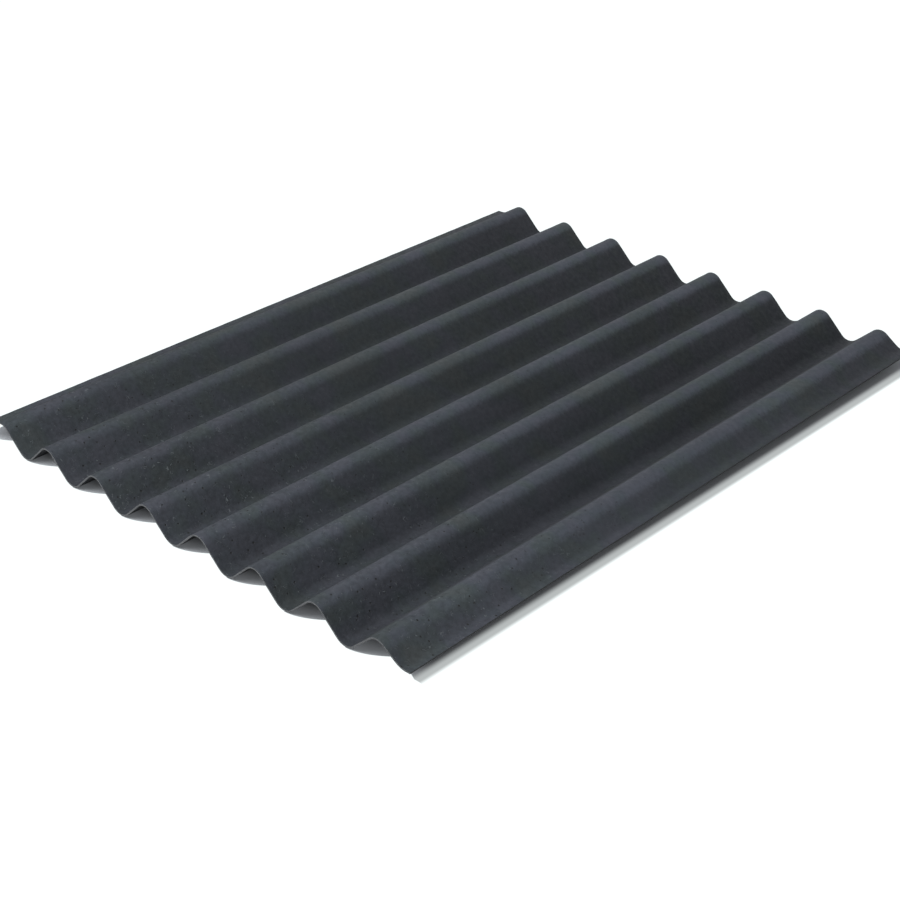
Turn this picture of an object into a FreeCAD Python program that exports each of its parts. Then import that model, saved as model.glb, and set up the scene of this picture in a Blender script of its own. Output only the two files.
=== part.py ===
import FreeCAD, Part
import math
import os
from collections import namedtuple

# Corrugated roofing sheet of bitumen-soaked fibre board, pressed in one piece and trimmed to size.
# It lies on the undersides of its flutes, with the waves running along Y and the crests up.
# The origin is under the middle of the sheet, on the plane it rests on. All sizes are in millimetres.

# Driving dimensions of the sheet
sheet_length = 1000.0     # along the waves, from cut end to cut end
sheet_thickness = 2.6     # measured square to the board

# Driving dimensions of the waves
crest_count = 8           # full crests across the sheet
wave_pitch = 95.0         # from crest to crest
wave_height = 32.0        # from a flute to a crest, on the same face of the board
crest_radius = 16.0       # of the board's middle line, over a crest
flute_radius = 18.0       # of the board's middle line, under a flute

# Driving dimensions of the shallow lip beyond each outer crest
edge_reach = 47.5         # from the outer crest's middle to the trimmed side edge
lip_clearance = 13.0      # from the plane the sheet rests on up to the underside of the lip
lip_radius = 27.0         # of the board's middle line, in the bend that levels the lip
lip_slope = 34.0          # fall of the straight board between the outer crest and that bend, in degrees

# One bend of the board's middle line, seen along the waves.
# side is +1 where the board passes over the bend's centre, as at a crest, and -1 where it passes under.
Bend = namedtuple("Bend", "x z radius side")

CREST = 1
FLUTE = -1


def crest_bend(index):
    """The bend over one crest, counted from 0 at the left."""
    x = (index - (crest_count - 1) / 2) * wave_pitch
    top_of_middle_line = sheet_thickness / 2 + wave_height
    return Bend(x, top_of_middle_line - crest_radius, crest_radius, CREST)


def flute_bend(index):
    """The bend under the flute between crests index and index + 1."""
    x = crest_bend(index).x + wave_pitch / 2
    return Bend(x, sheet_thickness / 2 + flute_radius, flute_radius, FLUTE)


def lip_bend(outer_crest, outward):
    """The bend that levels the board beyond an outer crest. outward is -1 to the left and +1 to the right."""
    slope = math.radians(lip_slope)
    radii = crest_radius + lip_radius
    fall = wave_height - lip_clearance
    straight = (fall - radii * (1 - math.cos(slope))) / math.sin(slope)
    run = radii * math.sin(slope) + straight * math.cos(slope)
    bottom_of_middle_line = lip_clearance + sheet_thickness / 2
    return Bend(outer_crest.x + outward * run, bottom_of_middle_line + lip_radius, lip_radius, FLUTE)


def bends_across_sheet():
    """All bends from the left lip to the right lip, crest and flute in turn."""
    crests = [crest_bend(index) for index in range(crest_count)]
    bends = [lip_bend(crests[0], -1), crests[0]]
    for index in range(1, crest_count):
        bends += [flute_bend(index - 1), crests[index]]
    bends.append(lip_bend(crests[-1], 1))
    return bends


def flank_slope(left, right):
    """Angle from level of the straight flank that touches two neighbouring bends."""
    crest, flute = (left, right) if left.side == CREST else (right, left)
    run = right.x - left.x
    rise = crest.z - flute.z
    return math.atan2(rise, run) + math.asin((left.radius + right.radius) / math.hypot(run, rise))


def point(x, z):
    """A point of the section, in the plane of the near cut end."""
    return FreeCAD.Vector(x, -sheet_length / 2, z)


def point_on_bend(bend, angle, offset):
    """The point of a bend at angle from its top or bottom, on the face at offset from the middle line.

    angle is positive towards +X, and offset is positive towards the weather face.
    """
    radius = bend.radius + bend.side * offset
    return point(bend.x + radius * math.sin(angle), bend.z + bend.side * radius * math.cos(angle))


def face_line(bends, offset):
    """One face of the board across the sheet, with its two ends.

    It has an arc round each bend and a straight flank between two bends. Each lip runs on level past the
    trimmed edge, as the pressed board does before it is trimmed.
    """
    slopes = [flank_slope(left, right) for left, right in zip(bends, bends[1:])]
    starts = [0.0] + [-slope for slope in slopes]
    ends = slopes + [0.0]
    left_end = point(bends[0].x - edge_reach, point_on_bend(bends[0], 0.0, offset).z)
    right_end = point(bends[-1].x + edge_reach, point_on_bend(bends[-1], 0.0, offset).z)
    edges = []
    last = left_end
    for bend, start, end in zip(bends, starts, ends):
        first_point = point_on_bend(bend, start, offset)
        middle_point = point_on_bend(bend, (start + end) / 2, offset)
        last_point = point_on_bend(bend, end, offset)
        edges.append(Part.makeLine(last, first_point))
        edges.append(Part.Arc(first_point, middle_point, last_point).toShape())
        last = last_point
    edges.append(Part.makeLine(last, right_end))
    return edges, left_end, right_end


def pressed_board():
    """The board as pressed: its section between the two faces, drawn once and run the length of the waves."""
    bends = bends_across_sheet()
    weather_edges, weather_left, weather_right = face_line(bends, sheet_thickness / 2)
    under_edges, under_left, under_right = face_line(bends, -sheet_thickness / 2)
    left_side = Part.makeLine(under_left, weather_left)
    right_side = Part.makeLine(weather_right, under_right)
    outline = Part.Wire(Part.__sortEdges__(weather_edges + [right_side] + under_edges + [left_side]))
    return Part.Face(outline).extrude(FreeCAD.Vector(0, sheet_length, 0))


def trimmed_width():
    """The block of space between the two trimmed side edges, taller and longer than the board."""
    left_edge = crest_bend(0).x - edge_reach
    right_edge = crest_bend(crest_count - 1).x + edge_reach
    corner = FreeCAD.Vector(left_edge, -sheet_length, -wave_height)
    return Part.makeBox(right_edge - left_edge, 2 * sheet_length, 3 * wave_height, corner)


def corrugated_sheet():
    """The finished sheet, as one solid."""
    return pressed_board().common(trimmed_width()).Solids[0]


os.makedirs("parts", exist_ok=True)
corrugated_sheet().exportStep("parts/corrugated_sheet.step")
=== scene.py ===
"""Dresses a corrugated roofing sheet of bitumen-soaked fibre board, and sets its floor, light and camera.

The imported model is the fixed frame, and one modelled board takes the place of its plain solid. All lengths
are in metres. The sheet lies with its waves along Y and its crests up, and it rests on the plane Z 0.
"""

import logging
import math
from dataclasses import dataclass, field
from enum import Enum
from typing import Any

import bmesh
import bpy
from mathutils import Matrix, Vector


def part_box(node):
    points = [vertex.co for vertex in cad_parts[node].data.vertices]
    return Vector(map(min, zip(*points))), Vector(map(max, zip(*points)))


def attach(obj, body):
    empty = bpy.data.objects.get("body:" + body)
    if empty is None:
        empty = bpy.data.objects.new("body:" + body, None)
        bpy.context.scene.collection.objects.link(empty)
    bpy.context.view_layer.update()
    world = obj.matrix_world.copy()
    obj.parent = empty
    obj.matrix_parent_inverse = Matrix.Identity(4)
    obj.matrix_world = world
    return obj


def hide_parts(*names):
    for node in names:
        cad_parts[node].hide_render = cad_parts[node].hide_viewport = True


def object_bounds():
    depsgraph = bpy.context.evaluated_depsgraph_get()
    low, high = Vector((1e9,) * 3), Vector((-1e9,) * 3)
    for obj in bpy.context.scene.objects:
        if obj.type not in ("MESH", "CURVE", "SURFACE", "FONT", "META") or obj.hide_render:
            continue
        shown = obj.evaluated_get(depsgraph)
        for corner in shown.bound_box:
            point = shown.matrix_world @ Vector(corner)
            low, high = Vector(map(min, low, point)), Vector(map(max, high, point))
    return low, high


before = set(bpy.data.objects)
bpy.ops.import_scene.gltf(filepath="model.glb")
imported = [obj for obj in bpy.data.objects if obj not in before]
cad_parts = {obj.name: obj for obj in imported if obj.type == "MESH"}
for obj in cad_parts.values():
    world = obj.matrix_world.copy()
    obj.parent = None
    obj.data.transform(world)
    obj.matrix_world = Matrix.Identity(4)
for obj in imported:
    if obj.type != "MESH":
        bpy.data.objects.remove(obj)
CAD_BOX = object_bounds()

LOG = logging.getLogger("roofing_sheet")
MM = 0.001

# The range that most of a noise's values lie in
NOISE_LOW, NOISE_HIGH = 0.3, 0.7

# The colour sockets of a Mix node, which have the same names as its number sockets
MIX_COLOUR_A, MIX_COLOUR_B, MIXED_COLOUR = 6, 7, 2

Tree = bpy.types.NodeTree
Node = bpy.types.Node
Socket = bpy.types.NodeSocket
ColourStops = tuple[tuple[float, str], ...]


# Colours, scales, shader nodes and materials


def linear(hex_colour: str) -> tuple[float, float, float, float]:
    """Turns an sRGB hex colour into the linear values that a shader reads.

    Args:
        hex_colour: six hex digits after a hash sign.

    Returns:
        Linear red, green and blue, and an alpha of 1.
    """
    channels = [int(hex_colour[start:start + 2], 16) / 255 for start in (1, 3, 5)]
    red, green, blue = (c / 12.92 if c <= 0.04045 else ((c + 0.055) / 1.055) ** 2.4 for c in channels)
    return red, green, blue, 1.0


def per_metre(feature_mm: float) -> float:
    """Gives the scale of a pattern whose features are feature_mm apart, on coordinates in metres."""
    return 1.0 / (feature_mm * MM)


def add_node(
    tree: Tree,
    kind: str,
    settings: dict[str, Any] | None = None,
    inputs: dict[str | int, Any] | None = None,
) -> Node:
    """Adds one node with its settings, its fixed values and its links.

    Args:
        tree: the node tree that gets the node.
        kind: the node's type, without the words ShaderNode in front.
        settings: attributes of the node itself.
        inputs: for each input by name or number, a socket to link from, or else the value to set.

    Returns:
        The new node.
    """
    node = tree.nodes.new("ShaderNode" + kind)
    for name, value in (settings or {}).items():
        setattr(node, name, value)
    for key, value in (inputs or {}).items():
        if isinstance(value, Socket):
            tree.links.new(value, node.inputs[key])
        else:
            node.inputs[key].default_value = value
    return node


def set_ramp(node: Node, stops: ColourStops) -> None:
    """Sets the stops of a colour ramp.

    Args:
        node: the ColorRamp node.
        stops: each stop's place from 0 to 1 and its sRGB hex colour, in rising order.
    """
    elements = node.color_ramp.elements
    while len(elements) < len(stops):
        elements.new(1.0)
    for element, (place, colour) in zip(elements, stops):
        element.position = place
        element.color = linear(colour)


def new_material(name: str) -> tuple[bpy.types.Material, Tree, Node]:
    """Starts a material made of nodes.

    Args:
        name: what the material is.

    Returns:
        The material, its node tree and its Principled shader.
    """
    material = bpy.data.materials.new(name)
    material.use_nodes = True
    tree = material.node_tree
    return material, tree, tree.nodes["Principled BSDF"]


# The finishes of the board


@dataclass(frozen=True)
class WeatherFaceFinish:
    """Pigmented bitumen fibre board, resin coated and pressed wet between felts.

    To the eye it is a dry charcoal with no gloss of its own, in clouds of bluer, greener and browner
    pigment. It has a felt-like grain with open pits, darkened as painted shade, and single fibres, which
    show most near the near end.
    The tops of the waves are painted paler up to a ragged border, a painted highlight that grows towards the
    far right, and the lips at the side edges are painted paler as painted light.
    """

    name: str = "bitumen_fibre_board_pigmented"
    roughness: tuple[float, float] = (0.66, 0.84)
    ior: float = 1.50

    # Pigment: hues over the range of a noise, greener round one place, and broad lighter and darker patches
    hues: ColourStops = ((0.34, "#33383a"), (0.45, "#30373a"), (0.55, "#31363d"), (0.66, "#353840"))
    cloud_mm: float = 50.0
    green_middle: tuple[float, float, float] = (-80.0 * MM, 0.0, 0.0)
    green_reach: tuple[float, float] = (150.0 * MM, 430.0 * MM)
    bluing: tuple[float, float] = (-0.03, 0.07)
    patch_mm: float = 150.0
    patch_gains: tuple[float, float] = (0.88, 1.12)

    # Grain: how far it strays from the pigment before and after it calms down, and where in Y it does so
    grain_mm: float = 6.5
    grain_shares: tuple[float, float] = (0.20, 0.075)
    grain_calming: tuple[float, float] = (-400.0 * MM, -100.0 * MM)
    grain_depth_mm: float = 0.9

    # Open pits, each with a flat bottom as a share of its width, and the dark colour of their painted shade
    pit_spacing_mm: float = 11.0
    pit_mm: float = 1.6
    pit_bottom: float = 0.4
    pit_shade_colour: str = "#16191b"

    # Single fibres: bands of one noise, shown in patches of another, and faded as the grain calms down
    fibre_mm: float = 9.0
    fibre_band: float = 0.016
    fibre_cover: float = 0.55
    fibre_patch_mm: float = 8.0
    fibre_patches: tuple[float, float] = (0.54, 0.62)
    fibre_fading: float = 2.0
    fibre_colour: str = "#7b8488"

    # Painted highlight on the tops, between two heights and stronger along a line turned from Y, and painted
    # light on the lips
    highlight_heights_mm: tuple[float, float] = (25.5, 32.5)
    highlight_ragged_mm: float = 3.0
    highlight_notch_mm: float = 4.8
    highlight_gains: tuple[float, float] = (1.30, 2.40)
    highlight_reach: tuple[float, float] = (-500.0 * MM, 500.0 * MM)
    highlight_turn: float = 0.5
    # Painted light on the land of each side lip: where it lies from the middle, and its gain
    lip_painted_light: tuple[float, float] = (364.0 * MM, 374.0 * MM)
    lip_painted_light_gain: float = 1.45

    def pigment(self, tree: Tree, place: Socket) -> Socket:
        """Adds clouds of four hues, greener in the middle of the sheet.

        Args:
            tree: the material's node tree.
            place: the place on the board.

        Returns:
            The pigment's colour.
        """
        clouds = add_node(tree, "TexNoise", inputs={
            "Vector": place, "Scale": per_metre(self.cloud_mm), "Detail": 2.5, "Roughness": 0.5})
        off_middle = add_node(tree, "VectorMath", {"operation": "DISTANCE"}, {
            0: place, 1: self.green_middle})
        bluer = add_node(tree, "MapRange", inputs={
            "Value": off_middle.outputs["Value"],
            "From Min": self.green_reach[0], "From Max": self.green_reach[1],
            "To Min": self.bluing[0], "To Max": self.bluing[1]})
        cloud = add_node(tree, "Math", {"operation": "ADD"}, {
            0: clouds.outputs["Fac"], 1: bluer.outputs["Result"]})
        hue = add_node(tree, "ValToRGB", inputs={"Fac": cloud.outputs["Value"]})
        set_ramp(hue, self.hues)
        return hue.outputs["Color"]

    def shading(self, tree: Tree, place: Socket, grain: Node, share: Socket) -> Socket:
        """Adds the lighter and darker places: broad patches, and the grain.

        Args:
            tree: the material's node tree.
            place: the place on the board.
            grain: the noise of the grain.
            share: how far the grain strays from the pigment at that place.

        Returns:
            The gain that lightens or darkens the pigment.
        """
        patches = add_node(tree, "TexNoise", inputs={
            "Vector": place, "Scale": per_metre(self.patch_mm), "Detail": 2.0, "Roughness": 0.5})
        patch_gain = add_node(tree, "MapRange", inputs={
            "Value": patches.outputs["Fac"], "From Min": NOISE_LOW, "From Max": NOISE_HIGH,
            "To Min": self.patch_gains[0], "To Max": self.patch_gains[1]})
        lightest = add_node(tree, "Math", {"operation": "ADD"}, {0: 1.0, 1: share})
        darkest = add_node(tree, "Math", {"operation": "SUBTRACT"}, {0: 1.0, 1: share})
        grain_gain = add_node(tree, "MapRange", inputs={
            "Value": grain.outputs["Fac"], "From Min": NOISE_LOW, "From Max": NOISE_HIGH,
            "To Min": darkest.outputs["Value"], "To Max": lightest.outputs["Value"]})
        gain = add_node(tree, "Math", {"operation": "MULTIPLY"}, {
            0: patch_gain.outputs["Result"], 1: grain_gain.outputs["Result"]})
        return gain.outputs["Value"]

    def painted_crest_highlight(self, tree: Tree, place: Socket, spot: Node) -> Socket:
        """Adds the painted highlight on the tops of the waves, palest at the far right, and painted light on
        the lips.

        Args:
            tree: the material's node tree.
            place: the place on the board.
            spot: the node that takes that place apart into X, Y and Z.

        Returns:
            The gain that makes the pigment paler where highlight and light are painted.
        """
        # Painted highlight: its strength rises along a line turned from Y, towards the far right
        along = add_node(tree, "Math", {"operation": "MULTIPLY_ADD"}, {
            0: spot.outputs["X"], 1: self.highlight_turn, 2: spot.outputs["Y"]})
        highlight_rise = add_node(tree, "MapRange", inputs={
            "Value": along.outputs["Value"], "From Min": self.highlight_reach[0], "From Max": self.highlight_reach[1],
            "To Min": self.highlight_gains[0], "To Max": self.highlight_gains[1]})

        # The noise is 0.5 on average, so the painted highlight's border strays by its ragged height up and
        # down
        ragged = add_node(tree, "TexNoise", inputs={
            "Vector": place, "Scale": per_metre(self.highlight_notch_mm), "Detail": 3.0, "Roughness": 0.65})
        border = add_node(tree, "Math", {"operation": "MULTIPLY_ADD"}, {
            0: ragged.outputs["Fac"], 1: 2 * self.highlight_ragged_mm * MM, 2: spot.outputs["Z"]})
        # Painted highlight: paler pigment above a ragged height on every crest
        top_gain = add_node(tree, "MapRange", {"interpolation_type": "SMOOTHSTEP"}, {
            "Value": border.outputs["Value"],
            "From Min": (self.highlight_heights_mm[0] + self.highlight_ragged_mm) * MM,
            "From Max": (self.highlight_heights_mm[1] + self.highlight_ragged_mm) * MM,
            "To Min": 1.0, "To Max": highlight_rise.outputs["Result"]})

        # Painted light on the lips: paler pigment across the land of each side lip
        to_side = add_node(tree, "Math", {"operation": "ABSOLUTE"}, {0: spot.outputs["X"]})
        lip_gain = add_node(tree, "MapRange", {"interpolation_type": "SMOOTHSTEP"}, {
            "Value": to_side.outputs["Value"], "From Min": self.lip_painted_light[0], "From Max": self.lip_painted_light[1],
            "To Min": 1.0, "To Max": self.lip_painted_light_gain})
        gain = add_node(tree, "Math", {"operation": "MAXIMUM"}, {
            0: top_gain.outputs["Result"], 1: lip_gain.outputs["Result"]})
        return gain.outputs["Value"]

    def pits(self, tree: Tree, place: Socket, grain: Node, rawness: Socket) -> Socket:
        """Adds open pits in the felt, uneven in outline, which the colour darkens as painted shade.

        Args:
            tree: the material's node tree.
            place: the place on the board.
            grain: the noise of the grain.
            rawness: how strongly the felt shows at that place.

        Returns:
            How deep the place lies in a pit, from 0 to 1.
        """
        uneven = add_node(tree, "VectorMath", {"operation": "MULTIPLY_ADD"}, {
            0: grain.outputs["Color"], 1: (self.pit_mm * MM,) * 3, 2: place})
        cells = add_node(tree, "TexVoronoi", inputs={
            "Vector": uneven.outputs["Vector"], "Scale": per_metre(self.pit_spacing_mm)})
        pit_share = self.pit_mm / self.pit_spacing_mm
        pit = add_node(tree, "MapRange", {"interpolation_type": "SMOOTHSTEP"}, {
            "Value": cells.outputs["Distance"],
            "From Min": pit_share * self.pit_bottom, "From Max": pit_share,
            "To Min": rawness, "To Max": 0.0})
        return pit.outputs["Result"]

    def fibres(self, tree: Tree, place: Socket, rawness: Socket) -> Socket:
        """Adds single fibres on the surface: the thin bands where a noise crosses its middle value.

        They are drawn thicker and further apart than the real fibres, so that they show at this distance.

        Args:
            tree: the material's node tree.
            place: the place on the board.
            rawness: how strongly the felt shows at that place.

        Returns:
            How far a fibre covers the place, from 0 to 1.
        """
        winding = add_node(tree, "TexNoise", inputs={
            "Vector": place, "Scale": per_metre(self.fibre_mm),
            "Detail": 1.5, "Roughness": 0.5, "Distortion": 0.7})
        crossing = add_node(tree, "Math", {"operation": "SUBTRACT"}, {0: winding.outputs["Fac"], 1: 0.5})
        off_crossing = add_node(tree, "Math", {"operation": "ABSOLUTE"}, {0: crossing.outputs["Value"]})
        line = add_node(tree, "MapRange", {"interpolation_type": "SMOOTHSTEP"}, {
            "Value": off_crossing.outputs["Value"], "From Min": 0.0, "From Max": self.fibre_band,
            "To Min": self.fibre_cover, "To Max": 0.0})
        patches = add_node(tree, "TexNoise", inputs={
            "Vector": place, "Scale": per_metre(self.fibre_patch_mm), "Detail": 1.0, "Roughness": 0.5})
        shown = add_node(tree, "MapRange", inputs={
            "Value": patches.outputs["Fac"],
            "From Min": self.fibre_patches[0], "From Max": self.fibre_patches[1],
            "To Min": 0.0, "To Max": 1.0})
        shown_line = add_node(tree, "Math", {"operation": "MULTIPLY"}, {
            0: line.outputs["Result"], 1: shown.outputs["Result"]})
        fading = add_node(tree, "Math", {"operation": "POWER"}, {0: rawness, 1: self.fibre_fading})
        fibre = add_node(tree, "Math", {"operation": "MULTIPLY"}, {
            0: shown_line.outputs["Value"], 1: fading.outputs["Value"]})
        return fibre.outputs["Value"]

    def build(self) -> bpy.types.Material:
        """Builds the finish from its parts.

        Returns:
            The node material.
        """
        material, tree, shader = new_material(self.name)
        place = add_node(tree, "TexCoord").outputs["Object"]
        spot = add_node(tree, "SeparateXYZ", inputs={"Vector": place})

        # Grain of the felt, drawn coarser than the real fibres so that it shows at this distance
        grain = add_node(tree, "TexNoise", inputs={
            "Vector": place, "Scale": per_metre(self.grain_mm), "Detail": 2.5, "Roughness": 0.6})
        share = add_node(tree, "MapRange", inputs={
            "Value": spot.outputs["Y"],
            "From Min": self.grain_calming[0], "From Max": self.grain_calming[1],
            "To Min": self.grain_shares[0], "To Max": self.grain_shares[1]}).outputs["Result"]
        rawness = add_node(tree, "Math", {"operation": "DIVIDE"}, {
            0: share, 1: self.grain_shares[0]}).outputs["Value"]

        # Colour: pigment with its patches, grain and painted highlight, with pits darkened as painted shade
        # in it and fibres over it
        gain = add_node(tree, "Math", {"operation": "MULTIPLY"}, {
            0: self.shading(tree, place, grain, share), 1: self.painted_crest_highlight(tree, place, spot)})
        shaded = add_node(tree, "VectorMath", {"operation": "SCALE"}, {
            0: self.pigment(tree, place), "Scale": gain.outputs["Value"]})
        pit = self.pits(tree, place, grain, rawness)
        # Painted shade in the pits: the pigment goes dark towards each pit's bottom
        pitted = add_node(tree, "Mix", {"data_type": "RGBA"}, {
            "Factor": pit, MIX_COLOUR_A: shaded.outputs["Vector"], MIX_COLOUR_B: linear(self.pit_shade_colour)})
        fibre = self.fibres(tree, place, rawness)
        flecked = add_node(tree, "Mix", {"data_type": "RGBA"}, {
            "Factor": fibre, MIX_COLOUR_A: pitted.outputs[MIXED_COLOUR],
            MIX_COLOUR_B: linear(self.fibre_colour)})
        tree.links.new(flecked.outputs[MIXED_COLOUR], shader.inputs["Base Color"])

        # Sheen: matte, and slightly less so where the coat lies thick
        dullness = add_node(tree, "MapRange", inputs={
            "Value": grain.outputs["Fac"], "From Min": NOISE_LOW, "From Max": NOISE_HIGH,
            "To Min": self.roughness[1], "To Max": self.roughness[0]})
        tree.links.new(dullness.outputs["Result"], shader.inputs["Roughness"])
        shader.inputs["IOR"].default_value = self.ior

        # Relief of the grain, its pits and its single fibres
        hollows = add_node(tree, "Math", {"operation": "SUBTRACT"}, {0: grain.outputs["Fac"], 1: pit})
        height = add_node(tree, "Math", {"operation": "ADD"}, {0: hollows.outputs["Value"], 1: fibre})
        bump = add_node(tree, "Bump", inputs={
            "Height": height.outputs["Value"], "Distance": self.grain_depth_mm * MM, "Strength": rawness})
        tree.links.new(bump.outputs["Normal"], shader.inputs["Normal"])
        return material


@dataclass(frozen=True)
class UnderFaceFinish:
    """The same board on its plain back, soaked in bitumen and left uncoated.

    To the eye it is darker and plainer than the weather face, with a finer felt grain and a faint bitumen
    shine.
    """

    name: str = "bitumen_fibre_board_uncoated"
    hues: ColourStops = ((0.35, "#1b1c1e"), (0.65, "#282a2c"))
    cloud_mm: float = 40.0
    grain_mm: float = 2.6
    grain_depth_mm: float = 0.4
    roughness: float = 0.66
    ior: float = 1.52

    def build(self) -> bpy.types.Material:
        """Builds the finish.

        Returns:
            The node material.
        """
        material, tree, shader = new_material(self.name)
        place = add_node(tree, "TexCoord").outputs["Object"]
        clouds = add_node(tree, "TexNoise", inputs={
            "Vector": place, "Scale": per_metre(self.cloud_mm), "Detail": 5.0, "Roughness": 0.7})
        hue = add_node(tree, "ValToRGB", inputs={"Fac": clouds.outputs["Fac"]})
        set_ramp(hue, self.hues)
        tree.links.new(hue.outputs["Color"], shader.inputs["Base Color"])
        grain = add_node(tree, "TexNoise", inputs={
            "Vector": place, "Scale": per_metre(self.grain_mm), "Detail": 3.0, "Roughness": 0.6})
        bump = add_node(tree, "Bump", inputs={
            "Height": grain.outputs["Fac"], "Distance": self.grain_depth_mm * MM, "Strength": 1.0})
        tree.links.new(bump.outputs["Normal"], shader.inputs["Normal"])
        shader.inputs["Roughness"].default_value = self.roughness
        shader.inputs["IOR"].default_value = self.ior
        return material


@dataclass(frozen=True)
class CutEdgeFinish:
    """Fibre board sheared through: torn fibres with bitumen between them.

    To the eye it is a paler, dusty grey line with short streaks along the board, rougher than either face.
    """

    name: str = "bitumen_fibre_board_sheared"
    hues: ColourStops = ((0.35, "#525355"), (0.65, "#7b7d7f"))
    streak_mm: tuple[float, float, float] = (3.0, 3.0, 0.7)
    grain_depth_mm: float = 0.3
    roughness: float = 0.88
    ior: float = 1.48

    def build(self) -> bpy.types.Material:
        """Builds the finish.

        Returns:
            The node material.
        """
        material, tree, shader = new_material(self.name)
        place = add_node(tree, "TexCoord").outputs["Object"]
        stretched = add_node(tree, "Mapping", inputs={
            "Vector": place, "Scale": tuple(per_metre(size) for size in self.streak_mm)})
        fibres = add_node(tree, "TexNoise", inputs={
            "Vector": stretched.outputs["Vector"], "Scale": 1.0, "Detail": 4.0, "Roughness": 0.65})
        hue = add_node(tree, "ValToRGB", inputs={"Fac": fibres.outputs["Fac"]})
        set_ramp(hue, self.hues)
        tree.links.new(hue.outputs["Color"], shader.inputs["Base Color"])
        bump = add_node(tree, "Bump", inputs={
            "Height": fibres.outputs["Fac"], "Distance": self.grain_depth_mm * MM, "Strength": 1.0})
        tree.links.new(bump.outputs["Normal"], shader.inputs["Normal"])
        shader.inputs["Roughness"].default_value = self.roughness
        shader.inputs["IOR"].default_value = self.ior
        return material


# The board


class Side(Enum):
    """A side edge of the sheet, with the direction in X that leads out to it."""

    LEFT = -1
    RIGHT = 1


class BoardFace(Enum):
    """A kind of face of the board, with the place of its finish in the board's material list."""

    WEATHER = 0
    UNDER = 1
    CUT = 2


@dataclass(frozen=True)
class Bend:
    """A bend of the board's middle surface: the X and Z of its axis, which runs along Y, and its radius."""

    x: float
    z: float
    radius: float


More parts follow.
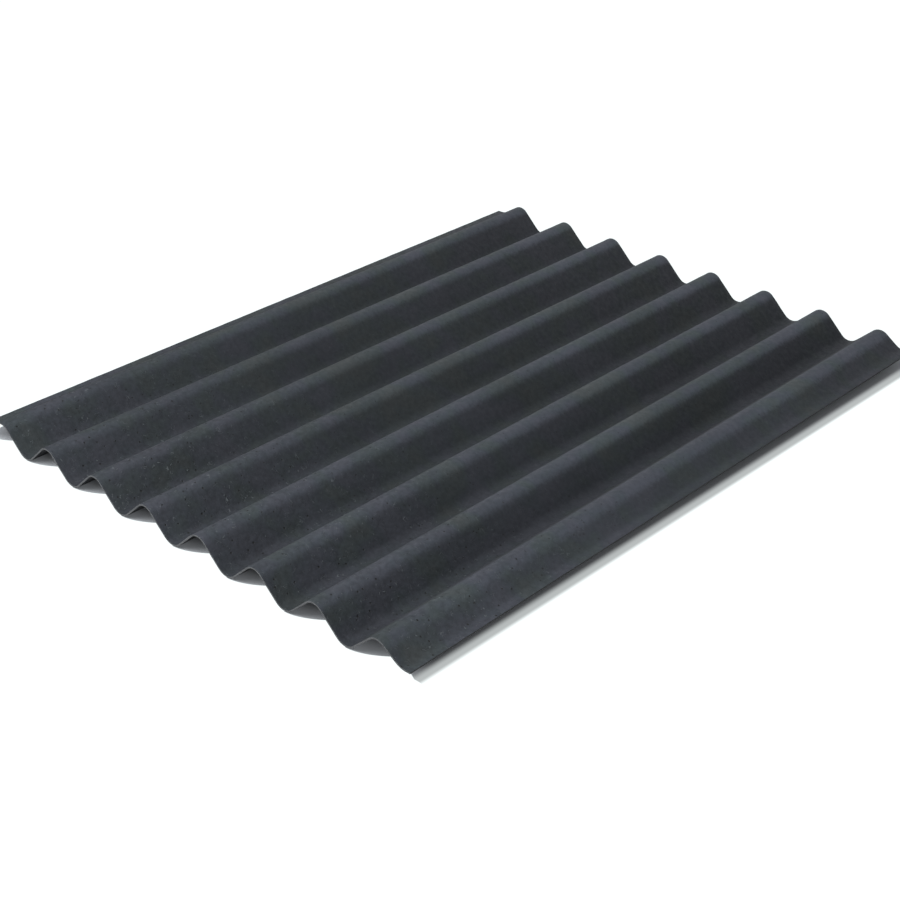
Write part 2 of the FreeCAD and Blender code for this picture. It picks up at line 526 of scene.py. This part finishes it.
@dataclass
class CorrugatedBoard:
    """The pressed board: seven whole waves between eight crests, and a shallow lip beyond each outer crest.

    Its middle surface is modelled first and then given its thickness.
    """

    node: str = "corrugated_sheet"
    body: str = "root"
    finish_slot: str = "bitumen_board"
    name: str = "pressed_board"

    # The section, with all radii those of the board's middle surface
    thickness: float = 2.6 * MM
    crest_count: int = 8
    pitch: float = 95.0 * MM
    crest_radius: float = 16.0 * MM
    flute_radius: float = 18.0 * MM
    lip_clearance: float = 13.0 * MM
    lip_radius: float = 27.0 * MM
    lip_slope: float = math.radians(34.0)

    # Softened arrises, and the relief that the felts leave
    arris_radius: float = 0.35 * MM
    arris_segments: int = 2
    arris_angle: float = math.radians(60.0)
    relief_depth: float = 0.5 * MM
    relief_size: float = 15.0 * MM
    relief_octaves: int = 2

    # Cells of the mesh along each stretch, and how its faces are told apart and shaded
    bend_cells: int = 5
    flank_cells: int = 6
    lip_flank_cells: int = 4
    land_cells: int = 2
    length_cells: int = 176
    merge_distance: float = 0.005 * MM
    side_facing: float = 0.9
    smooth_angle: float = math.radians(40.0)

    # Worked out from the values above and the solid in the frame
    length: float = field(init=False)
    side_edge: float = field(init=False)
    wave_height: float = field(init=False)
    outer_crest_x: float = field(init=False)
    lip_axis_z: float = field(init=False)
    flute: Bend = field(init=False)
    crest: Bend = field(init=False)

    def __post_init__(self) -> None:
        """Takes the sheet's outer size from its solid in the frame."""
        low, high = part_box(self.node)
        self.length = high.y - low.y
        self.side_edge = high.x
        self.wave_height = high.z - low.z - self.thickness
        middle_line = self.thickness / 2
        crest_axis_z = middle_line + self.wave_height - self.crest_radius
        self.outer_crest_x = (self.crest_count - 1) / 2 * self.pitch
        self.lip_axis_z = self.lip_clearance + middle_line + self.lip_radius
        self.flute = Bend(0.0, middle_line + self.flute_radius, self.flute_radius)
        self.crest = Bend(self.pitch / 2, crest_axis_z, self.crest_radius)

    def flank_slope(self) -> float:
        """Works out how steep the straight flank between a flute and a crest is.

        Returns:
            Its angle from level.
        """
        run = self.crest.x - self.flute.x
        rise = self.crest.z - self.flute.z
        radii = self.crest.radius + self.flute.radius
        return math.atan2(rise, run) + math.asin(radii / math.hypot(run, rise))

    def select_line(self, x: float, z: float, board: bpy.types.Object) -> None:
        """Selects the edges that run along Y at one place of the section, and nothing else.

        Args:
            x: place across the sheet.
            z: height of the middle surface there.
            board: the board's object, in edit mode.
        """
        bpy.ops.mesh.select_all(action="DESELECT")
        mesh = bmesh.from_edit_mesh(board.data)
        line = Vector((x, 0.0, z))
        for edge in mesh.edges:
            ends = [Vector((v.co.x, 0.0, v.co.z)) for v in edge.verts]
            edge.select = all((end - line).length < self.merge_distance for end in ends)
        mesh.select_flush_mode()
        bmesh.update_edit_mesh(board.data)

    def bend_on(self, x: float, z: float, angle: float) -> None:
        """Leads the board on round a bend from the selected edges, which stay selected at its end.

        Args:
            x: place of the bend's axis across the sheet.
            z: height of that axis.
            angle: how far the board turns, positive where it goes over the axis towards +X.
        """
        bpy.ops.mesh.spin(steps=self.bend_cells, angle=-angle, axis=(0.0, 1.0, 0.0), center=(x, 0.0, z))

    def half_wave(self) -> bpy.types.Object:
        """Models the middle surface from the middle flute up to the crest on its right.

        The straight flank comes first, and the two half bends are spun from its lower and upper edges.

        Returns:
            The new object, in edit mode.
        """
        slope = self.flank_slope()
        foot = Vector((self.flute.x + self.flute.radius * math.sin(slope), 0.0,
                       self.flute.z - self.flute.radius * math.cos(slope)))
        head = Vector((self.crest.x - self.crest.radius * math.sin(slope), 0.0,
                       self.crest.z + self.crest.radius * math.cos(slope)))
        bpy.ops.object.select_all(action="DESELECT")
        bpy.ops.mesh.primitive_grid_add(
            x_subdivisions=self.flank_cells, y_subdivisions=self.length_cells, size=1.0, calc_uvs=False,
            location=(foot + head) / 2, rotation=(0.0, -slope, 0.0))
        board = bpy.context.active_object
        board.scale = ((head - foot).length, self.length, 1.0)
        board.name = self.name
        board.data.name = self.name
        bpy.ops.object.transform_apply(location=True, rotation=True, scale=True)
        bpy.ops.object.mode_set(mode="EDIT")
        bpy.ops.mesh.select_mode(type="EDGE")
        self.select_line(foot.x, foot.z, board)
        self.bend_on(self.flute.x, self.flute.z, slope)
        self.select_line(head.x, head.z, board)
        self.bend_on(self.crest.x, self.crest.z, slope)
        return board

    def repeat_waves(self, board: bpy.types.Object) -> None:
        """Mirrors the half wave into a whole one and repeats it from the first crest to the last.

        Args:
            board: the board's object, in edit mode, which this leaves in object mode.
        """
        bpy.ops.object.mode_set(mode="OBJECT")
        mirror = board.modifiers.new("whole_wave", "MIRROR")
        mirror.use_axis = (True, False, False)
        mirror.merge_threshold = self.merge_distance
        bpy.ops.object.modifier_apply(modifier=mirror.name)
        bpy.ops.object.mode_set(mode="EDIT")
        bpy.ops.mesh.select_all(action="SELECT")
        bpy.ops.transform.translate(value=(self.pitch / 2 - self.outer_crest_x, 0.0, 0.0))
        bpy.ops.object.mode_set(mode="OBJECT")
        repeat = board.modifiers.new("all_waves", "ARRAY")
        repeat.count = self.crest_count - 1
        repeat.use_relative_offset = False
        repeat.use_constant_offset = True
        repeat.constant_offset_displace = (self.pitch, 0.0, 0.0)
        repeat.use_merge_vertices = True
        repeat.merge_threshold = self.merge_distance
        bpy.ops.object.modifier_apply(modifier=repeat.name)

    def add_lip(self, side: Side, board: bpy.types.Object) -> None:
        """Leads the board on from an outer crest: half a crest, a straight fall, a wide bend, a level land.

        Args:
            side: which side edge the lip is for.
            board: the board's object, in edit mode.
        """
        out = side.value
        crest_x = out * self.outer_crest_x
        crest_top = self.crest.z + self.crest.radius
        fall = crest_top - (self.lip_axis_z - self.lip_radius)
        radii = self.crest.radius + self.lip_radius
        straight = (fall - radii * (1 - math.cos(self.lip_slope))) / math.sin(self.lip_slope)
        run = radii * math.sin(self.lip_slope) + straight * math.cos(self.lip_slope)
        step = straight / self.lip_flank_cells
        land = self.side_edge - self.outer_crest_x - run

        self.select_line(crest_x, crest_top, board)
        self.bend_on(crest_x, self.crest.z, out * self.lip_slope)
        for _ in range(self.lip_flank_cells):
            bpy.ops.mesh.extrude_region_move(TRANSFORM_OT_translate={
                "value": (out * step * math.cos(self.lip_slope), 0.0, -step * math.sin(self.lip_slope))})
        self.bend_on(crest_x + out * run, self.lip_axis_z, -out * self.lip_slope)
        for _ in range(self.land_cells):
            bpy.ops.mesh.extrude_region_move(TRANSFORM_OT_translate={
                "value": (out * land / self.land_cells, 0.0, 0.0)})

    def give_thickness(self, board: bpy.types.Object) -> None:
        """Closes seams, turns the weather face up, and adds the two faces and the cut edges between them.

        Args:
            board: the board's object, in edit mode, which this leaves in object mode.
        """
        bpy.ops.mesh.select_all(action="SELECT")
        bpy.ops.mesh.remove_doubles(threshold=self.merge_distance)
        bpy.ops.mesh.normals_make_consistent(inside=False)
        bpy.ops.object.mode_set(mode="OBJECT")
        if sum(face.normal.z for face in board.data.polygons) < 0:
            board.data.flip_normals()
        wall = board.modifiers.new("board_thickness", "SOLIDIFY")
        wall.thickness = self.thickness
        wall.offset = 0.0
        wall.use_even_offset = True
        wall.material_offset = BoardFace.UNDER.value
        wall.material_offset_rim = BoardFace.CUT.value
        bpy.ops.object.modifier_apply(modifier=wall.name)

    def darken_side_edges(self, board: bpy.types.Object) -> None:
        """Gives the side edges the dark finish of the back; only the two ends keep the paler finish of the
        cut.

        Args:
            board: the board's object.
        """
        for face in board.data.polygons:
            if face.material_index == BoardFace.CUT.value and abs(face.normal.x) > self.side_facing:
                face.material_index = BoardFace.UNDER.value

    def soften_arrises(self) -> None:
        """Rounds the arrises of the cut edges, as shearing leaves them."""
        bpy.ops.object.mode_set(mode="EDIT")
        bpy.ops.mesh.select_mode(type="EDGE")
        bpy.ops.mesh.select_all(action="DESELECT")
        bpy.ops.mesh.edges_select_sharp(sharpness=self.arris_angle)
        bpy.ops.mesh.bevel(offset=self.arris_radius, segments=self.arris_segments, affect="EDGES")
        bpy.ops.object.mode_set(mode="OBJECT")

    def press_relief(self, board: bpy.types.Object) -> None:
        """Gives both faces the slight unevenness of felt-pressed board, always inwards.

        Args:
            board: the board's object.
        """
        felt = bpy.data.textures.new("felt_relief", "CLOUDS")
        felt.noise_scale = self.relief_size
        felt.noise_depth = self.relief_octaves
        relief = board.modifiers.new("felt_relief", "DISPLACE")
        relief.texture = felt
        relief.texture_coords = "LOCAL"
        relief.strength = self.relief_depth
        relief.mid_level = 1.0
        bpy.ops.object.modifier_apply(modifier=relief.name)

    def build(self) -> bpy.types.Object:
        """Models the whole board, dresses it and sets it in the place of its solid.

        Returns:
            The finished piece.
        """
        board = self.half_wave()
        self.repeat_waves(board)
        bpy.ops.object.mode_set(mode="EDIT")
        for side in Side:
            self.add_lip(side, board)
        finishes = {
            BoardFace.WEATHER: WeatherFaceFinish(),
            BoardFace.UNDER: UnderFaceFinish(),
            BoardFace.CUT: CutEdgeFinish(),
        }
        for face in BoardFace:
            board.data.materials.append(finishes[face].build())
        self.give_thickness(board)
        self.darken_side_edges(board)
        self.soften_arrises()
        self.press_relief(board)
        bpy.ops.object.shade_smooth_by_angle(angle=self.smooth_angle)
        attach(board, self.body)
        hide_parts(self.node)
        return board


# Floor, light and camera


@dataclass(frozen=True)
class StudioFloor:
    """A plain light grey floor of matte paper that goes on to the horizon, and keeps the sheet's shadow.

    The camera sees it white away from the sheet, as on a cut-out picture. What stays as it is lit is the
    floor under the waves, behind a line that bends in from each flute's near end, with painted light lifting
    its shade near that line and at the left side. A narrow strip along the right side is painted in plain
    light grey, which cuts the lip's soft shadow short. A camera below the floor sees through it.
    """

    size: float = 16.0
    drop: float = 0.2 * MM
    colour: str = "#bbbfc4"
    roughness: float = 0.9

    # Plain light that the camera sees round the sheet: its colour, strength, cover and soft border
    plain_colour: str = "#f9ffff"
    white_level: float = 1.16
    cover: float = 0.92
    border: float = 1.5 * MM

    # The near line: how far in it starts at a flute, how far it goes by the next one, and how it bends
    pitch: float = 95.0 * MM
    near_line_start: float = 0.8 * MM
    near_line_depth: float = 77.0 * MM
    near_line_bend: float = 1.8

    # The strip of painted flat light grey along the right side, measured from the side edge, with its own
    # near corner and slight turn; it covers the outer part of the lip's soft shadow
    painted_strip_level: float = 0.54
    strip_from: float = -25.0 * MM
    strip_start: float = 11.0 * MM
    strip_corner: float = -3.5 * MM
    strip_corner_slope: float = 0.47
    strip_turn: float = 0.011
    painted_lip_shadow_edge: tuple[float, float] = (-6.2 * MM, 4.8 * MM)
    strip_end: tuple[float, float] = (7.3 * MM, 14.3 * MM)

    # Painted light that lifts the floor's shade just behind the near line, and at the left side
    painted_shade_lift: float = 0.165
    shade_depth: float = 34.0 * MM
    painted_left_lift: float = 0.36
    left_reach: tuple[float, float] = (-335.0 * MM, -385.0 * MM)

    def before_near_line(self, tree: Tree, x: Socket, y: Socket) -> Socket:
        """Adds the near line, which bends in under each wave and has a corner of its own at the right lip.

        Args:
            tree: the floor material's node tree.
            x: place across the sheet.
            y: place along the sheet.

        Returns:
            How far the place lies before the line, negative behind it.
        """
        low, high = CAD_BOX
        waves = add_node(tree, "Math", {"operation": "DIVIDE"}, {0: x, 1: self.pitch})
        across_wave = add_node(tree, "Math", {"operation": "FRACT"}, {0: waves.outputs["Value"]})
        bent = add_node(tree, "Math", {"operation": "POWER"}, {
            0: across_wave.outputs["Value"], 1: self.near_line_bend})
        under_waves = add_node(tree, "Math", {"operation": "MULTIPLY_ADD"}, {
            0: bent.outputs["Value"], 1: self.near_line_depth, 2: self.near_line_start})
        to_corner = add_node(tree, "Math", {"operation": "SUBTRACT"}, {0: high.x + self.strip_corner, 1: x})
        left_of_corner = add_node(tree, "Math", {"operation": "MAXIMUM"}, {
            0: to_corner.outputs["Value"], 1: 0.0})
        beside_lip = add_node(tree, "Math", {"operation": "MULTIPLY_ADD"}, {
            0: left_of_corner.outputs["Value"], 1: self.strip_corner_slope, 2: self.strip_start})
        at_side = add_node(tree, "Math", {"operation": "GREATER_THAN"}, {0: x, 1: high.x + self.strip_from})
        inset = add_node(tree, "Mix", inputs={
            "Factor": at_side.outputs["Value"],
            "A": under_waves.outputs["Value"], "B": beside_lip.outputs["Value"]})
        line = add_node(tree, "Math", {"operation": "ADD"}, {0: inset.outputs["Result"], 1: low.y})
        before = add_node(tree, "Math", {"operation": "SUBTRACT"}, {0: line.outputs["Value"], 1: y})
        return before.outputs["Value"]

    def plain_light(self, tree: Tree, x: Socket, y: Socket, before_line: Socket) -> tuple[Socket, Socket]:
        """Adds the plain light round the sheet, white but painted light grey over the strip along the right
        side, where it cuts the lip's soft shadow short.

        Args:
            tree: the floor material's node tree.
            x: place across the sheet.
            y: place along the sheet.
            before_line: how far the place lies before the near line.

        Returns:
            How far plain light covers the place, and how strong that light is.
        """
        low, high = CAD_BOX
        past_far_end = add_node(tree, "Math", {"operation": "SUBTRACT"}, {0: y, 1: high.y})
        past_left_side = add_node(tree, "Math", {"operation": "SUBTRACT"}, {0: low.x, 1: x})
        past_ends = add_node(tree, "Math", {"operation": "MAXIMUM"}, {
            0: before_line, 1: past_far_end.outputs["Value"]})
        past_edges = add_node(tree, "Math", {"operation": "MAXIMUM"}, {
            0: past_ends.outputs["Value"], 1: past_left_side.outputs["Value"]})
        around = add_node(tree, "MapRange", {"interpolation_type": "SMOOTHSTEP"}, {
            "Value": past_edges.outputs["Value"], "From Min": 0.0, "From Max": self.border})
        turn = add_node(tree, "Math", {"operation": "MULTIPLY"}, {0: y, 1: self.strip_turn})
        turned = add_node(tree, "Math", {"operation": "SUBTRACT"}, {0: x, 1: turn.outputs["Value"]})
        past_strip = add_node(tree, "MapRange", {"interpolation_type": "SMOOTHSTEP"}, {
            "Value": turned.outputs["Value"],
            "From Min": high.x + self.strip_end[0], "From Max": high.x + self.strip_end[1]})
        away = add_node(tree, "Math", {"operation": "MAXIMUM"}, {
            0: around.outputs["Result"], 1: past_strip.outputs["Result"]})
        # Painted light: from here outwards the lip's soft shadow is covered by flat grey
        past_shadow = add_node(tree, "MapRange", {"interpolation_type": "SMOOTHSTEP"}, {
            "Value": turned.outputs["Value"],
            "From Min": high.x + self.painted_lip_shadow_edge[0], "From Max": high.x + self.painted_lip_shadow_edge[1]})
        plain = add_node(tree, "Math", {"operation": "MAXIMUM"}, {
            0: away.outputs["Value"], 1: past_shadow.outputs["Result"]})
        covered = add_node(tree, "Math", {"operation": "MULTIPLY"}, {
            0: plain.outputs["Value"], 1: self.cover})
        level = add_node(tree, "Mix", inputs={
            "Factor": away.outputs["Value"], "A": self.painted_strip_level, "B": self.white_level})
        return covered.outputs["Value"], level.outputs["Result"]

    def painted_light_in_shade(self, tree: Tree, x: Socket, before_line: Socket) -> Socket:
        """Adds painted light, seen only by the camera, that lifts the floor's shade just behind the near
        line and at the left side.

        Args:
            tree: the floor material's node tree.
            x: place across the sheet.
            before_line: how far the place lies before the near line.

        Returns:
            How strong that light is.
        """
        near_the_line = add_node(tree, "MapRange", {"interpolation_type": "SMOOTHSTEP"}, {
            "Value": before_line, "From Min": -self.shade_depth, "From Max": 0.0})
        at_left = add_node(tree, "MapRange", {"interpolation_type": "SMOOTHSTEP"}, {
            "Value": x, "From Min": self.left_reach[0], "From Max": self.left_reach[1]})
        painted_near_lift = add_node(tree, "Math", {"operation": "MULTIPLY"}, {
            0: near_the_line.outputs["Result"], 1: self.painted_shade_lift})
        painted_left_lift = add_node(tree, "Math", {"operation": "MULTIPLY"}, {
            0: at_left.outputs["Result"], 1: self.painted_left_lift})
        lift = add_node(tree, "Math", {"operation": "ADD"}, {
            0: painted_near_lift.outputs["Value"], 1: painted_left_lift.outputs["Value"]})
        return lift.outputs["Value"]

    def paper(self) -> bpy.types.Material:
        """Builds matte grey paper, with what only the camera sees of it.

        Returns:
            The node material.
        """
        material, tree, paper = new_material("matte_grey_paper")
        paper.inputs["Base Color"].default_value = linear(self.colour)
        paper.inputs["Roughness"].default_value = self.roughness
        paper.inputs["Specular IOR Level"].default_value = 0.0
        paper.inputs["Emission Color"].default_value = linear(self.colour)
        seen = add_node(tree, "LightPath").outputs["Is Camera Ray"]
        place = add_node(tree, "TexCoord").outputs["Object"]
        spot = add_node(tree, "SeparateXYZ", inputs={"Vector": place})
        x, y = spot.outputs["X"], spot.outputs["Y"]
        before_line = self.before_near_line(tree, x, y)
        covered, level = self.plain_light(tree, x, y, before_line)
        # Painted light in the floor's shade, seen only by the camera
        lift = add_node(tree, "Math", {"operation": "MULTIPLY"}, {
            0: seen, 1: self.painted_light_in_shade(tree, x, before_line)})
        tree.links.new(lift.outputs["Value"], paper.inputs["Emission Strength"])
        plain = add_node(tree, "Emission", inputs={"Color": linear(self.plain_colour), "Strength": level})
        plain_share = add_node(tree, "Math", {"operation": "MULTIPLY"}, {0: seen, 1: covered})
        surface = add_node(tree, "MixShader", inputs={
            0: plain_share.outputs["Value"], 1: paper.outputs["BSDF"], 2: plain.outputs["Emission"]})
        from_below = add_node(tree, "Math", {"operation": "MULTIPLY"}, {
            0: seen, 1: add_node(tree, "NewGeometry").outputs["Backfacing"]})
        opened = add_node(tree, "MixShader", inputs={
            0: from_below.outputs["Value"], 1: surface.outputs["Shader"],
            2: add_node(tree, "BsdfTransparent").outputs["BSDF"]})
        tree.links.new(opened.outputs["Shader"], tree.nodes["Material Output"].inputs["Surface"])
        return material

    def build(self) -> bpy.types.Object:
        """Lays the floor just under the sheet.

        Returns:
            The floor, which is not part of the object.
        """
        bpy.ops.object.select_all(action="DESELECT")
        bpy.ops.mesh.primitive_plane_add(size=self.size, location=(0.0, 0.0, -self.drop))
        floor = bpy.context.active_object
        floor.name = "studio_floor"
        bpy.ops.object.transform_apply(location=True, rotation=True, scale=True)
        floor.data.materials.append(self.paper())
        return floor


@dataclass(frozen=True)
class SoftLamp:
    """A square soft lamp aimed at the middle of the sheet.

    Its azimuth is 0 in front of the near end and 90 degrees to the right of the sheet.
    """

    name: str
    azimuth: float
    elevation: float
    distance: float
    size: float
    power: float

    def build(self) -> bpy.types.Object:
        """Adds the lamp, out of the camera's sight.

        Returns:
            The lamp's object.
        """
        lamp = bpy.data.lights.new(self.name, "AREA")
        lamp.shape = "SQUARE"
        lamp.size = self.size
        lamp.energy = self.power
        holder = bpy.data.objects.new(self.name, lamp)
        bpy.context.scene.collection.objects.link(holder)
        level = math.cos(self.elevation) * self.distance
        place = Vector((math.sin(self.azimuth) * level, -math.cos(self.azimuth) * level,
                        math.sin(self.elevation) * self.distance))
        holder.location = place
        holder.rotation_euler = (-place).to_track_quat("-Z", "Y").to_euler()
        holder.visible_camera = False
        return holder


@dataclass(frozen=True)
class StudioLight:
    """A dim white room, one soft lamp high in front, and low lamps round the sheet that graze its crests."""

    room_strength: float = 0.25
    lamps: tuple[SoftLamp, ...] = (
        SoftLamp("front_lamp", math.radians(352.0), math.radians(45.0), 1.6, 0.8, 15.3),
        SoftLamp("front_right_lamp", math.radians(45.0), math.radians(8.0), 2.6, 0.7, 6.6),
        SoftLamp("right_lamp", math.radians(84.0), math.radians(4.0), 2.6, 0.35, 17.3),
        SoftLamp("back_lamp", math.radians(180.0), math.radians(8.0), 2.6, 0.7, 9.5),
        SoftLamp("back_left_lamp", math.radians(225.0), math.radians(25.0), 2.6, 1.2, 9.0),
    )

    def build(self) -> None:
        """Sets the world, which the camera sees white, and adds the lamps."""
        world = bpy.data.worlds.new("white_room")
        bpy.context.scene.world = world
        world.use_nodes = True
        tree = world.node_tree
        background = tree.nodes["Background"]
        background.inputs["Color"].default_value = (1.0, 1.0, 1.0, 1.0)
        rays = add_node(tree, "LightPath")
        seen = add_node(tree, "Math", {"operation": "MAXIMUM"}, {
            0: rays.outputs["Is Camera Ray"], 1: rays.outputs["Is Transmission Ray"]})
        strength = add_node(tree, "MapRange", inputs={
            "Value": seen.outputs["Value"], "To Min": self.room_strength, "To Max": 1.0})
        tree.links.new(strength.outputs["Result"], background.inputs["Strength"])
        for lamp in self.lamps:
            LOG.info("%s: in place", lamp.build().name)


@dataclass(frozen=True)
class StudioCamera:
    """The camera, at the viewing angle of the picture: from the front right, looking down on the sheet."""

    place: tuple[float, float, float] = (1.3473, -1.4945, 1.0730)
    azimuth: float = math.radians(42.59)
    elevation: float = math.radians(29.86)
    roll: float = math.radians(0.38)
    focal_length_mm: float = 68.15
    sensor_mm: float = 36.0

    def build(self) -> bpy.types.Object:
        """Adds the camera and makes it the scene's own.

        Returns:
            The camera's object.
        """
        data = bpy.data.cameras.new("studio_camera")
        data.lens = self.focal_length_mm
        data.sensor_width = self.sensor_mm
        camera = bpy.data.objects.new("studio_camera", data)
        bpy.context.scene.collection.objects.link(camera)
        turn = (Matrix.Rotation(self.azimuth, 4, "Z")
                @ Matrix.Rotation(math.pi / 2 - self.elevation, 4, "X")
                @ Matrix.Rotation(self.roll, 4, "Z"))
        camera.matrix_world = Matrix.Translation(self.place) @ turn
        bpy.context.scene.camera = camera
        return camera


def main() -> None:
    """Builds the sheet and its studio, in order."""
    logging.basicConfig(level=logging.INFO, format="%(name)s: %(message)s")
    board = CorrugatedBoard().build()
    LOG.info("%s: %d faces", board.name, len(board.data.polygons))
    floor = StudioFloor().build()
    LOG.info("%s: in place", floor.name)
    StudioLight().build()
    camera = StudioCamera().build()
    LOG.info("%s: in place", camera.name)
    bpy.context.scene.view_settings.view_transform = "Standard"


if __name__ == "__main__":
    main()
